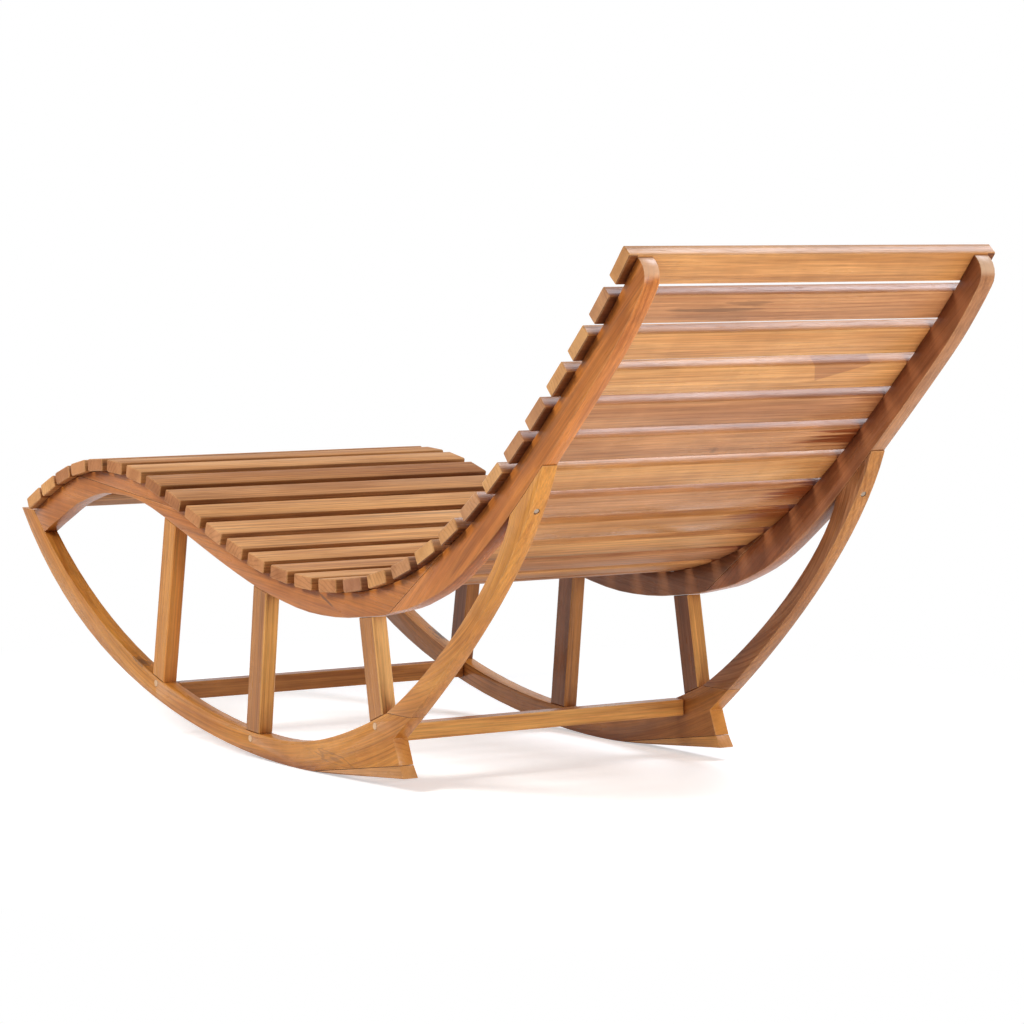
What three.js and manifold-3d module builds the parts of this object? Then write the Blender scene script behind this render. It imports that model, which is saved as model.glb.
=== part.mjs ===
// Rocking chaise lounge: two side frames of shaped boards, two stretchers and twenty-nine slats.
// Millimetres, +Z up. The sitter faces -Y, so the foot end is at -Y and the sitter's left is +X.

import * as THREE from 'three';
import { mergeVertices } from 'three/addons/utils/BufferGeometryUtils.js';
import Module from 'manifold-3d';

const wasm = await Module();
wasm.setup();

// Overall sizes and fits
const OVERALL_WIDTH = 600;
const SLAT_OVERHANG = 13;
const BOARD_THICKNESS = 24;
const FIT_GAP = 0.3;
const EDGE_EASE = 1.5;
const FRAME_OUTER_WIDTH = OVERALL_WIDTH - 2 * SLAT_OVERHANG;

// Slats
const SLAT_COUNT = 29;
const SLAT_WIDTH = 49.5;
const SLAT_THICKNESS = 19.5;
const SLAT_EDGE_RADIUS = 2.5;
const SLAT_END_EASE = 1.2;
// How far the slats stray from even spacing, at even steps from foot to head, as shares of the rail's length
const SLAT_SHIFT_SHARES = [0.0218, -0.0012, -0.0069, -0.0071, -0.0014, 0.0003, 0.0017, 0.0032];

// Side rail: a chain of tangent arcs under the slats, with its heading in degrees at equal steps.
// The side view keeps its proportions: every place in it is a share of the rail's length.
const RAIL_LENGTH = 1971.8;
const RAIL_START_SHARE = { y: -0.4501, z: 0.1573 };
const RAIL_END_SHARE = 0.9968;
const RAIL_ANGLES = [29.2, 20.4, 0, -16, -19.5, -13.1, -2.4, 10.6, 24.9, 36.6, 42.1, 44, 50.9];
const RAIL_DEPTH = 38;
// Board depth along the rail, as [share of the length, share of RAIL_DEPTH]
const RAIL_DEPTH_SHARES = [
  [0.065, 1.18], [0.105, 1.09], [0.16, 0.93], [0.215, 0.85], [0.3, 0.86], [0.37, 0.8],
  [0.44, 0.83], [0.5, 0.92], [0.56, 0.95], [0.6, 1.03], [0.64, 1.17], [0.68, 1.24],
  [0.74, 1.13], [0.84, 1], [0.93, 1], [1, 0.88],
];
const HEAD_ROUND_RADIUS = 27;

// Knee crest: the rail's top between two places is a separate crescent on a straight joint
const CREST_SHARES = { start: 0.1135, end: 0.294 };
// Hip scarf: where the joint between seat rail and back rail meets the rail's top and its underside
const SCARF_SHARES = { top: 0.688, low: 0.602 };
// The crescent and the heel wedge taper to this at their thin ends
const THIN_END = 0.9;

// Rocker outlines as cubic curves, each start, two handles and end. Upper heights count from ROCKER_DEPTH.
const ROCKER_DEPTH = 36.5;
const ROCKER_LOW_FRONT_SHARES = [
  { y: -0.4564, z: 0.1689 }, { y: -0.3357, z: 0.0241 }, { y: -0.0964, z: 0 }, { y: 0.0081, z: 0 },
];
const ROCKER_LOW_REAR_SHARES = [
  { y: 0.0081, z: 0 }, { y: 0.0482, z: 0 }, { y: 0.0994, z: 0.0056 }, { y: 0.1562, z: 0.0096 },
];
const ROCKER_TOP_FRONT_SHARES = [
  { y: -0.4336, z: 0.1494 }, { y: -0.3001, z: 0.0221 }, { y: -0.1126, z: 0 }, { y: -0.0228, z: 0 },
];
const ROCKER_TOP_REAR_SHARES = [
  { y: -0.0228, z: 0 }, { y: 0.0393, z: 0 }, { y: 0.0964, z: 0.022 }, { y: 0.1329, z: 0.0358 },
];
const TAIL_NOTCH_SHARE = { y: 0.1425, z: 0.037 };

// Heel wedge under the tail
const WEDGE_TIP_SHARE = 0.0314;
const WEDGE_REAR_TOP_SHARE = { y: 0.1501, z: 0.0183 };

// Rear arm: handles of its two edges, the rail's shares between which it meets the rail, and its thin tip
const ARM_FRONT_HANDLE_SHARES = [{ y: 0.2817, z: 0.1628 }, { y: 0.2004, z: 0.0914 }];
const ARM_REAR_HANDLE_SHARES = [{ y: 0.3063, z: 0.1683 }, { y: 0.2131, z: 0.0884 }];
const ARM_TOP_SHARES = { crotch: 0.771, tip: 0.823 };
const ARM_TIP_THICKNESS = 1.5;

// Posts: widths, and two places on each centre line
const POST_WIDTHS = { front: 37, middle: 39.5, rear: 38 };
const POST_SHARES = {
  front: { low: { y: -0.2145, z: 0.0456 }, high: { y: -0.1922, z: 0.1674 } },
  middle: { low: { y: -0.0621, z: 0.0228 }, high: { y: -0.0497, z: 0.1217 } },
  rear: { low: { y: 0.1188, z: 0.0482 }, high: { y: 0.1056, z: 0.1197 } },
};

// Wooden plugs in the rocker's outer face, a little ahead of the posts' centre lines
const PLUG_RADIUS = 5;
const PLUG_DEPTH = 8;
const PLUG_FORWARD = 5.5;
// How far a plug lies below its post's foot, as a share of ROCKER_DEPTH
const PLUG_DROP_SHARES = { front: 0.25, middle: 0.3, rear: 0.28 };

// Stretchers: their tops lie a little below the rockers' upper edges
const STRETCHER_THICKNESS = 24;
const STRETCHER_DROPS = { front: 1.5, rear: 3.5 };
const STRETCHER_HEIGHTS = { front: 27, rear: 24 };
const STRETCHER_REAR_SHARES = { front: -0.2008, rear: 0.1101 };

// Screw in the arm's rear face
const SCREW_HEAD_RADIUS = 4;
const SCREW_HEAD_DEPTH = 4;
const SCREW_SUNK = 0.6;
const SCREW_DOME = 0.8;
const SCREW_PLACE_SHARE = 0.145;

// How finely curves are drawn
const RAIL_STEPS = 64;
const ROCKER_STEPS = 22;
const ARM_STEPS = 16;
const ROUND_STEPS = 5;
const SLAT_ROUND_STEPS = 2;
const CYLINDER_STEPS = 24;
const SEARCH_STEPS = 40;
const CUT_THROUGH = 1;

const QUARTER_TURN = Math.PI / 2;
const WOOD_ROUGHNESS = 0.55;
const SCREW_ROUGHNESS = 0.35;
const COLORS = {
  rocker: 0xb67a45,
  wedge: 0xd09a5c,
  rail: 0xb97d49,
  crest: 0xbf8450,
  arm: 0xc28a50,
  post: 0xc08650,
  stretcher: 0xbd8450,
  plug: 0xd8a873,
  slat: 0xc68f5c,
  screw: 0xb9b6b0,
};

const group = new THREE.Group();
group.name = 'rocking_chaise_lounge';

function wood(color) {
  return new THREE.MeshStandardMaterial({ color, roughness: WOOD_ROUGHNESS, metalness: 0 });
}

// A place in the side view from its shares of the rail's length
function placed(share) {
  return { y: share.y * RAIL_LENGTH, z: share.z * RAIL_LENGTH };
}

function addPiece(name, geometry, material) {
  const mesh = new THREE.Mesh(geometry, material);
  mesh.name = name;
  group.add(mesh);
  return mesh;
}

// The rail's top line: place and heading at a share of its length
function railTop(share) {
  const arcCount = RAIL_ANGLES.length - 1;
  const arcLength = RAIL_LENGTH / arcCount;
  let { y, z } = placed(RAIL_START_SHARE);
  let left = share * RAIL_LENGTH;
  for (let i = 0; i < arcCount; i += 1) {
    const from = THREE.MathUtils.degToRad(RAIL_ANGLES[i]);
    const turn = THREE.MathUtils.degToRad(RAIL_ANGLES[i + 1]) - from;
    const run = i === arcCount - 1 ? left : Math.min(left, arcLength);
    const to = from + (turn * run) / arcLength;
    const bend = turn / arcLength;
    y += (Math.sin(to) - Math.sin(from)) / bend;
    z -= (Math.cos(to) - Math.cos(from)) / bend;
    left -= run;
    if (left <= 0) {
      return { y, z, heading: to };
    }
  }
  return { y, z, heading: THREE.MathUtils.degToRad(RAIL_ANGLES[arcCount]) };
}

// A point below the rail's top line, square to it
function belowRail(share, depth) {
  const at = railTop(share);
  return { y: at.y + depth * Math.sin(at.heading), z: at.z - depth * Math.cos(at.heading) };
}

function railDepth(share) {
  const table = RAIL_DEPTH_SHARES;
  if (share <= table[0][0]) {
    return RAIL_DEPTH * table[0][1];
  }
  const i = table.findIndex((row) => row[0] >= share);
  const blend = THREE.MathUtils.smoothstep(share, table[i - 1][0], table[i][0]);
  return RAIL_DEPTH * THREE.MathUtils.lerp(table[i - 1][1], table[i][1], blend);
}

function railLow(share) {
  return belowRail(share, railDepth(share));
}

function cubic(points, t) {
  const u = 1 - t;
  const weights = [u * u * u, 3 * u * u * t, 3 * u * t * t, t * t * t];
  const y = points.reduce((sum, p, i) => sum + weights[i] * p.y, 0);
  const z = points.reduce((sum, p, i) => sum + weights[i] * p.z, 0);
  return { y, z };
}

function samples(curve, from, to, steps) {
  return Array.from({ length: steps + 1 }, (_, i) => curve(from + ((to - from) * i) / steps));
}

// Where a curve crosses a straight line, found by halving
function crossing(curve, from, to, a, b) {
  const side = (p) => (b.y - a.y) * (p.z - a.z) - (b.z - a.z) * (p.y - a.y);
  const startSide = Math.sign(side(curve(from)));
  let low = from;
  let high = to;
  for (let i = 0; i < SEARCH_STEPS; i += 1) {
    const middle = (low + high) / 2;
    if (Math.sign(side(curve(middle))) === startSide) {
      low = middle;
    } else {
      high = middle;
    }
  }
  return low;
}

function shifted(points, dy, dz) {
  return points.map((p) => ({ y: p.y + dy, z: p.z + dz }));
}

// A flat board cut to an outline in the side view, from x = low to x = high
function board(outline, low, high, ease = 0) {
  const shape = new THREE.Shape(outline.map((p) => new THREE.Vector2(p.y, p.z)));
  const geometry = new THREE.ExtrudeGeometry(shape, {
    depth: high - low - 2 * ease,
    bevelEnabled: ease > 0,
    bevelThickness: ease,
    bevelSize: ease,
    bevelOffset: -ease,
    bevelSegments: 1,
    curveSegments: 1,
  });
  const along = new THREE.Vector3(1, 0, 0);
  const across = new THREE.Vector3(0, 1, 0);
  const up = new THREE.Vector3(0, 0, 1);
  geometry.applyMatrix4(new THREE.Matrix4().makeBasis(across, up, along));
  geometry.translate(low + ease, 0, 0);
  return geometry;
}

function toSolid(geometry) {
  const bare = geometry.clone();
  bare.deleteAttribute('normal');
  bare.deleteAttribute('uv');
  const merged = mergeVertices(bare);
  const vertProperties = new Float32Array(merged.attributes.position.array);
  const triVerts = new Uint32Array(merged.index.array);
  return new wasm.Manifold(new wasm.Mesh({ numProp: 3, vertProperties, triVerts }));
}

function toGeometry(solid) {
  const mesh = solid.getMesh();
  const geometry = new THREE.BufferGeometry();
  geometry.setAttribute('position', new THREE.BufferAttribute(mesh.vertProperties, 3));
  geometry.setIndex(new THREE.BufferAttribute(mesh.triVerts, 1));
  const flat = geometry.toNonIndexed();
  flat.computeVertexNormals();
  return flat;
}

function cut(geometry, cutters) {
  const solid = cutters.reduce((rest, cutter) => rest.subtract(toSolid(cutter)), toSolid(geometry));
  return toGeometry(solid);
}

// A cylinder on a given axis, from its outer end inwards
function pin(radius, length, outerEnd, outward) {
  const geometry = new THREE.CylinderGeometry(radius, radius, length, CYLINDER_STEPS);
  geometry.translate(0, -length / 2, 0);
  const turn = new THREE.Quaternion().setFromUnitVectors(new THREE.Vector3(0, 1, 0), outward);
  geometry.applyQuaternion(turn);
  geometry.translate(outerEnd.x, outerEnd.y, outerEnd.z);
  return geometry;
}

// X range of a side frame's boards
function boardRange(side) {
  const outer = FRAME_OUTER_WIDTH / 2;
  const inner = outer - BOARD_THICKNESS;
  return side === 'left' ? [inner, outer] : [-outer, -inner];
}

const topFrontPoints = shifted(ROCKER_TOP_FRONT_SHARES.map(placed), 0, ROCKER_DEPTH);
const topRearPoints = shifted(ROCKER_TOP_REAR_SHARES.map(placed), 0, ROCKER_DEPTH);
const rockerTopFront = (t) => cubic(topFrontPoints, t);
const rockerTopRear = (t) => cubic(topRearPoints, t);
const rockerLowFront = (t) => cubic(ROCKER_LOW_FRONT_SHARES.map(placed), t);
const rockerLowRear = (t) => cubic(ROCKER_LOW_REAR_SHARES.map(placed), t);
const rockerTopAt = (y) => (y < topRearPoints[0].y ? rockerTopFront : rockerTopRear);
const tailNotch = placed(TAIL_NOTCH_SHARE);
const wedgeTipY = WEDGE_TIP_SHARE * RAIL_LENGTH;
const wedgeRearTop = placed(WEDGE_REAR_TOP_SHARE);

const armTip = belowRail(ARM_TOP_SHARES.tip, railDepth(ARM_TOP_SHARES.tip) + FIT_GAP);
const armTipRear = belowRail(ARM_TOP_SHARES.tip, railDepth(ARM_TOP_SHARES.tip) + ARM_TIP_THICKNESS);
const armCrotch = belowRail(ARM_TOP_SHARES.crotch, railDepth(ARM_TOP_SHARES.crotch) + FIT_GAP);
const armSeat = topRearPoints[3];
const armFoot = { y: armSeat.y, z: armSeat.z + FIT_GAP };
const armRear = (t) => cubic([armTipRear, ...ARM_REAR_HANDLE_SHARES.map(placed), tailNotch], t);
const armFront = (t) => cubic([armCrotch, ...ARM_FRONT_HANDLE_SHARES.map(placed), armFoot], t);
const seamEnd = { y: tailNotch.y, z: armSeat.z };
const armRearAtSeam = crossing(armRear, 0, 1, armSeat, seamEnd);
const armRearAboveSeam = crossing(armRear, 0, 1, armFoot, { y: seamEnd.y, z: seamEnd.z + FIT_GAP });

function rockerOutline() {
  const tipLine = [{ y: wedgeTipY - FIT_GAP, z: 0 }, { y: wedgeTipY - FIT_GAP, z: wedgeRearTop.z }];
  const wedgeStart = crossing(rockerLowRear, 0, 1, ...tipLine);
  const notch = rockerLowRear(wedgeStart);
  return [
    ...samples(rockerLowFront, 0, 1, ROCKER_STEPS),
    ...samples(rockerLowRear, 0, wedgeStart, ROUND_STEPS).slice(1),
    { y: notch.y, z: notch.z + THIN_END + FIT_GAP },
    { y: wedgeRearTop.y, z: wedgeRearTop.z + FIT_GAP },
    ...samples(armRear, 1, armRearAtSeam, ROUND_STEPS),
    ...samples(rockerTopRear, 1, 0, ROCKER_STEPS / 2),
    ...samples(rockerTopFront, 1, 0, ROCKER_STEPS).slice(1),
  ];
}

function wedgeOutline() {
  const start = crossing(rockerLowRear, 0, 1, { y: wedgeTipY, z: 0 }, { y: wedgeTipY, z: wedgeRearTop.z });
  const tip = rockerLowRear(start);
  return [
    ...samples(rockerLowRear, start, 1, ROUND_STEPS * 2),
    wedgeRearTop,
    { y: tip.y, z: tip.z + THIN_END },
  ];
}

// The rail's foot is cut along the rocker's upper edge
const footLine = shifted([rockerTopFront(0), rockerTopFront(1 / ROCKER_STEPS)], FIT_GAP, 0);
const railTopFoot = crossing(railTop, 0, CREST_SHARES.start, footLine[0], footLine[1]);
const railLowFoot = crossing(railLow, 0, CREST_SHARES.start, footLine[0], footLine[1]);

function seatRailOutline() {
  const crestStart = railTop(CREST_SHARES.start);
  const crestEnd = railTop(CREST_SHARES.end);
  return [
    ...samples(railTop, railTopFoot, CREST_SHARES.start, ROUND_STEPS),
    { y: crestStart.y, z: crestStart.z - THIN_END - FIT_GAP },
    { y: crestEnd.y, z: crestEnd.z - THIN_END - FIT_GAP },
    ...samples(railTop, CREST_SHARES.end, SCARF_SHARES.top, RAIL_STEPS / 2),
    ...samples(railLow, SCARF_SHARES.low, railLowFoot, RAIL_STEPS / 2),
  ];
}

function kneeCrestOutline() {
  const inset = FIT_GAP / RAIL_LENGTH;
  const start = railTop(CREST_SHARES.start + inset);
  const end = railTop(CREST_SHARES.end - inset);
  return [
    { y: start.y, z: start.z - THIN_END },
    { y: end.y, z: end.z - THIN_END },
    ...samples(railTop, CREST_SHARES.end - inset, CREST_SHARES.start + inset, ROUND_STEPS * 3),
  ];
}

function backRailOutline() {
  const top = railTop(SCARF_SHARES.top);
  const low = railLow(SCARF_SHARES.low);
  const slope = Math.hypot(top.y - low.y, top.z - low.z) / railDepth(SCARF_SHARES.low);
  const inset = (FIT_GAP * slope) / RAIL_LENGTH;
  const roundFrom = RAIL_END_SHARE - HEAD_ROUND_RADIUS / RAIL_LENGTH;
  const roundDepth = railDepth(RAIL_END_SHARE) - HEAD_ROUND_RADIUS;
  const corner = samples(
    (turn) => {
      const angle = turn * QUARTER_TURN;
      const share = roundFrom + (HEAD_ROUND_RADIUS * Math.sin(angle)) / RAIL_LENGTH;
      return belowRail(share, roundDepth + HEAD_ROUND_RADIUS * Math.cos(angle));
    },
    0,
    1,
    ROUND_STEPS,
  );
  return [
    ...samples(railLow, SCARF_SHARES.low + inset, roundFrom, RAIL_STEPS / 2).slice(0, -1),
    ...corner,
    ...samples(railTop, RAIL_END_SHARE, SCARF_SHARES.top + inset, RAIL_STEPS / 4),
  ];
}

function armOutline() {
  const underRail = (share) => belowRail(share, railDepth(share) + FIT_GAP);
  return [
    ...samples(armFront, 1, 0, ARM_STEPS).slice(0, -1),
    ...samples(underRail, ARM_TOP_SHARES.crotch, ARM_TOP_SHARES.tip, ROUND_STEPS),
    ...samples(armRear, 0, armRearAboveSeam, ARM_STEPS),
  ];
}

// A post is cut to the rocker's upper edge below and to the rail's underside above
function postOutline(post) {
  const centre = [placed(POST_SHARES[post].low), placed(POST_SHARES[post].high)];
  const front = shifted(centre, -POST_WIDTHS[post] / 2, 0);
  const rear = shifted(centre, POST_WIDTHS[post] / 2, 0);
  const rocker = rockerTopAt(centre[0].y);
  const footFront = crossing(rocker, 0, 1, ...front);
  const footRear = crossing(rocker, 0, 1, ...rear);
  const headFront = crossing(railLow, railLowFoot, SCARF_SHARES.low, ...front);
  const headRear = crossing(railLow, railLowFoot, SCARF_SHARES.low, ...rear);
  return [
    ...shifted(samples(rocker, footFront, footRear, ROUND_STEPS), 0, FIT_GAP),
    ...shifted(samples(railLow, headRear, headFront, ROUND_STEPS), 0, -FIT_GAP),
  ];
}

function screwPlace(side) {
  const at = armRear(SCREW_PLACE_SHARE);
  const next = armRear(SCREW_PLACE_SHARE + 1 / SEARCH_STEPS);
  const outward = new THREE.Vector3(0, at.z - next.z, next.y - at.y).normalize();
  const [low, high] = boardRange(side);
  return { outward, face: new THREE.Vector3((low + high) / 2, at.y, at.z) };
}

function plugPlace(post, side) {
  const low = placed(POST_SHARES[post].low);
  const high = placed(POST_SHARES[post].high);
  const rocker = rockerTopAt(low.y);
  const foot = rocker(crossing(rocker, 0, 1, low, high));
  const up = new THREE.Vector2(high.y - low.y, high.z - low.z).normalize();
  const drop = PLUG_DROP_SHARES[post] * ROCKER_DEPTH;
  const y = foot.y - drop * up.x - PLUG_FORWARD * up.y;
  const z = foot.z - drop * up.y + PLUG_FORWARD * up.x;
  const outward = new THREE.Vector3(side === 'left' ? 1 : -1, 0, 0);
  return { outward, face: new THREE.Vector3(0, y, z).addScaledVector(outward, FRAME_OUTER_WIDTH / 2) };
}

function pocket(place, radius, depth) {
  const mouth = place.face.clone().addScaledVector(place.outward, CUT_THROUGH);
  return pin(radius + FIT_GAP, depth + CUT_THROUGH + FIT_GAP, mouth, place.outward);
}

function addFrame(side) {
  const [low, high] = boardRange(side);
  const posts = Object.keys(POST_WIDTHS);
  const plugPockets = posts.map((post) => pocket(plugPlace(post, side), PLUG_RADIUS, PLUG_DEPTH));
  addPiece(`rocker_${side}`, cut(board(rockerOutline(), low, high), plugPockets), wood(COLORS.rocker));
  addPiece(`heel_wedge_${side}`, board(wedgeOutline(), low, high), wood(COLORS.wedge));
  addPiece(`seat_rail_${side}`, board(seatRailOutline(), low, high), wood(COLORS.rail));
  addPiece(`knee_crest_${side}`, board(kneeCrestOutline(), low, high), wood(COLORS.crest));
  addPiece(`back_rail_${side}`, board(backRailOutline(), low, high), wood(COLORS.rail));

  const screw = screwPlace(side);
  const armCut = pocket(screw, SCREW_HEAD_RADIUS, SCREW_HEAD_DEPTH + SCREW_SUNK);
  addPiece(`rear_arm_${side}`, cut(board(armOutline(), low, high), [armCut]), wood(COLORS.arm));
  posts.forEach((post) => {
    const upright = board(postOutline(post), low, high, EDGE_EASE);
    addPiece(`${post}_post_${side}`, upright, wood(COLORS.post));
    const { face, outward } = plugPlace(post, side);
    addPiece(`${post}_plug_${side}`, pin(PLUG_RADIUS, PLUG_DEPTH, face, outward), wood(COLORS.plug));
  });
  addScrew(`arm_screw_${side}`, screw);
}

// A screw head with a low dome
function addScrew(name, place) {
  const rim = SCREW_HEAD_RADIUS;
  const top = -SCREW_SUNK;
  const profile = [
    new THREE.Vector2(0, top - SCREW_HEAD_DEPTH),
    new THREE.Vector2(rim, top - SCREW_HEAD_DEPTH),
    ...samples(
      (turn) => {
        const angle = turn * QUARTER_TURN;
        return { y: rim * Math.cos(angle), z: top - SCREW_DOME + SCREW_DOME * Math.sin(angle) };
      },
      0,
      1,
      ROUND_STEPS,
    ).map((p) => new THREE.Vector2(p.y, p.z)),
  ];
  profile[profile.length - 1].x = 0;
  const geometry = new THREE.LatheGeometry(profile, CYLINDER_STEPS);
  const turn = new THREE.Quaternion().setFromUnitVectors(new THREE.Vector3(0, 1, 0), place.outward);
  geometry.applyQuaternion(turn);
  geometry.translate(place.face.x, place.face.y, place.face.z);
  const steel = { color: COLORS.screw, roughness: SCREW_ROUGHNESS, metalness: 1 };
  addPiece(name, geometry, new THREE.MeshStandardMaterial(steel));
}

function addStretcher(end) {
  const rear = STRETCHER_REAR_SHARES[end] * RAIL_LENGTH;
  const front = rear - STRETCHER_THICKNESS;
  const middle = (front + rear) / 2;
  const rocker = rockerTopAt(middle);
  const edge = rocker(crossing(rocker, 0, 1, { y: middle, z: 0 }, { y: middle, z: ROCKER_DEPTH }));
  const top = edge.z - STRETCHER_DROPS[end];
  const low = top - STRETCHER_HEIGHTS[end];
  const outline = [{ y: front, z: low }, { y: rear, z: low }, { y: rear, z: top }, { y: front, z: top }];
  const reach = FRAME_OUTER_WIDTH / 2 - BOARD_THICKNESS - FIT_GAP;
  addPiece(`${end}_stretcher`, board(outline, -reach, reach, EDGE_EASE), wood(COLORS.stretcher));
}

// Slat section: a rectangle with rounded long edges, its underside at z = 0
function slatSection() {
  const half = SLAT_WIDTH / 2;
  const r = SLAT_EDGE_RADIUS;
  const corners = [
    { y: half - r, z: r, quarter: -1 },
    { y: half - r, z: SLAT_THICKNESS - r, quarter: 0 },
    { y: r - half, z: SLAT_THICKNESS - r, quarter: 1 },
    { y: r - half, z: r, quarter: 2 },
  ];
  return corners.flatMap(({ y, z, quarter }) => samples(
    (turn) => {
      const angle = turn * QUARTER_TURN;
      return { y: y + r * Math.cos(angle), z: z + r * Math.sin(angle) };
    },
    quarter,
    quarter + 1,
    SLAT_ROUND_STEPS,
  ));
}

function slatShare(index) {
  const even = (index + 0.5) / SLAT_COUNT;
  const place = even * (SLAT_SHIFT_SHARES.length - 1);
  const i = Math.min(Math.floor(place), SLAT_SHIFT_SHARES.length - 2);
  return even + THREE.MathUtils.lerp(SLAT_SHIFT_SHARES[i], SLAT_SHIFT_SHARES[i + 1], place - i);
}

// How far a flat slat is held off the middle of its seat where the rail is hollow
function slatLift(share) {
  const at = railTop(share);
  const half = SLAT_WIDTH / 2 / RAIL_LENGTH;
  const heights = samples((s) => railTop(s), share - half, Math.min(share + half, 1), ROUND_STEPS * 2).map(
    (p) => (p.z - at.z) * Math.cos(at.heading) - (p.y - at.y) * Math.sin(at.heading),
  );
  return Math.max(...heights);
}

function addSlat(index) {
  const share = slatShare(index);
  const at = railTop(share);
  const half = OVERALL_WIDTH / 2;
  const geometry = board(slatSection(), -half, half, SLAT_END_EASE);
  const name = `slat_${String(index + 1).padStart(2, '0')}`;
  const slat = addPiece(name, geometry, wood(COLORS.slat));
  const lift = slatLift(share) + FIT_GAP;
  slat.position.set(0, at.y - lift * Math.sin(at.heading), at.z + lift * Math.cos(at.heading));
  slat.rotation.x = at.heading;
}

addFrame('left');
addFrame('right');
Object.keys(STRETCHER_HEIGHTS).forEach(addStretcher);
for (let i = 0; i < SLAT_COUNT; i += 1) {
  addSlat(i);
}

// The origin is on the floor, below the middle of the whole chaise
const bounds = new THREE.Box3().setFromObject(group);
group.position.set(0, -(bounds.min.y + bounds.max.y) / 2, -bounds.min.z);

export default group;
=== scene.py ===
"""Looks of the rocking chaise lounge: teak for each board, softened edges, a pale studio and the camera."""

import math

import bpy
import numpy as np
from mathutils import Matrix, Vector

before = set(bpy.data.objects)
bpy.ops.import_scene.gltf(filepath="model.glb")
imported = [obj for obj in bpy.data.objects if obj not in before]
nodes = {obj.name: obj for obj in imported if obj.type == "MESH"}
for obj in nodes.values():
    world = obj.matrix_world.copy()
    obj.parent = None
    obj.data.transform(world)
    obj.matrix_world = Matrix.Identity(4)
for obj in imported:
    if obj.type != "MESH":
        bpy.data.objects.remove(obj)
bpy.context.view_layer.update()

# Camera, in metres and degrees
CAMERA_PLACE = (2.9206, 4.5969, 0.7514)
CAMERA_YAW = 33.324
CAMERA_PITCH = -4.087
CAMERA_ROLL = -0.330
FOCAL_PIXELS = 3630.6
IMAGE_PIXELS = 1024
SENSOR_WIDTH = 36

# Lamps: place, what they point at, size in metres and power in watts
LAMPS = {
    "key": {
        "place": (3.4, -0.5, 2.8),
        "aim": (0.0, 0.0, 0.3),
        "size": 1.6,
        "power": 118,
        "color": (0.975, 1.0, 0.99),
    },
    "overhead": {
        "place": (-1.88, 0.75, 3.06),
        "aim": (0.0, 0.7, 0.6),
        "size": 1.15,
        "power": 57,
        "color": (0.87, 0.91, 1.0),
    },
    "rear_fill": {
        "place": (-0.1, 2.6, 0.32),
        "aim": (0.0, 0.7, 0.45),
        "size": 0.6,
        "power": 24.5,
        "color": (0.975, 1.0, 0.99),
    },
}
AMBIENT = 0.232

# Floor, in metres: its bounce, its shade and glow as seen, and where the shadow fades to plain white
FLOOR_SIZE = 60
FLOOR_DROP = 0.0004
FLOOR_BOUNCE = 0.86
FLOOR_SHADE = 0.95
FLOOR_GLOW = 0.48
SHADOW_STRETCH = (1.3, 1.0, 1.0)
SHADOW_NEAR = 0.85
SHADOW_FAR = 1.7

# Teak tones, linear colours: the ground and the darker figure in it
TONES = {
    "honey": ((0.68, 0.285, 0.056), (0.43, 0.140, 0.022)),
    "amber": ((0.59, 0.202, 0.040), (0.33, 0.090, 0.014)),
    "flame": ((0.78, 0.310, 0.062), (0.52, 0.165, 0.028)),
    "umber": ((0.52, 0.215, 0.058), (0.30, 0.102, 0.024)),
    "gold": ((0.71, 0.360, 0.132), (0.48, 0.200, 0.062)),
    "tan": ((0.66, 0.310, 0.106), (0.40, 0.158, 0.044)),
    "rose": ((0.61, 0.290, 0.122), (0.36, 0.143, 0.055)),
    "russet": ((0.40, 0.150, 0.060), (0.24, 0.074, 0.026)),
    "brown": ((0.45, 0.200, 0.084), (0.25, 0.092, 0.035)),
    "dark": ((0.30, 0.120, 0.050), (0.19, 0.066, 0.024)),
    "pale": ((0.92, 0.500, 0.175), (0.68, 0.320, 0.095)),
    "wheat": ((0.79, 0.385, 0.133), (0.46, 0.185, 0.054)),
    "clay": ((0.66, 0.300, 0.100), (0.38, 0.145, 0.042)),
    "ember": ((0.66, 0.225, 0.044), (0.37, 0.102, 0.017)),
    "caramel": ((0.78, 0.385, 0.105), (0.52, 0.205, 0.048)),
    "straw": ((0.84, 0.430, 0.165), (0.52, 0.220, 0.070)),
}
WHITE = (1.0, 1.0, 1.0, 1.0)
DARK_VEIN = (0.155, 0.066, 0.030, 1.0)
# Pale colour for the back rails' cut ends, a painted highlight where the ends face the light
END_GRAIN_HIGHLIGHT = (0.80, 0.56, 0.38, 1.0)
WORN_EDGE = (0.74, 0.42, 0.18, 1.0)

# Tone of each slat, foot to head
SLAT_TONES = (
    "clay wheat clay wheat clay wheat wheat umber clay wheat straw wheat wheat clay wheat wheat rose tan "
    "rose gold tan rose gold rose rose gold gold rose tan"
).split()
# Back slats whose ends stand out past the rail, and the painted shadow that the rail casts on their
# undersides
STUB_SLATS = [f"slat_{index:02d}" for index in range(19, 30)]
STUB_START = 0.2855
STUB_EDGE = 0.002
STUB_WAY = (0.0, 0.7, -0.7)
STUB_SHADOW_TINT = (0.32, 0.21, 0.17, 1.0)
# The seat slats' cut ends are darker than their faces
DARK_END_SLATS = [f"slat_{index:02d}" for index in range(3, 18)]
DARK_END_TINT = (0.74, 0.64, 0.66, 1.0)
# The seat's slats and the lowest two of the back are rubbed duller than the rest
DULL_SLATS = 20
SEAT_MATT = 0.22
# How strong the streaks are on each kind of piece
SEAT_STREAKS = 0.9
BACK_STREAKS = 0.5
POST_STREAKS = 0.55
STRETCHER_STREAKS = 0.65
BOARD_STREAKS = 0.4
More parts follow.
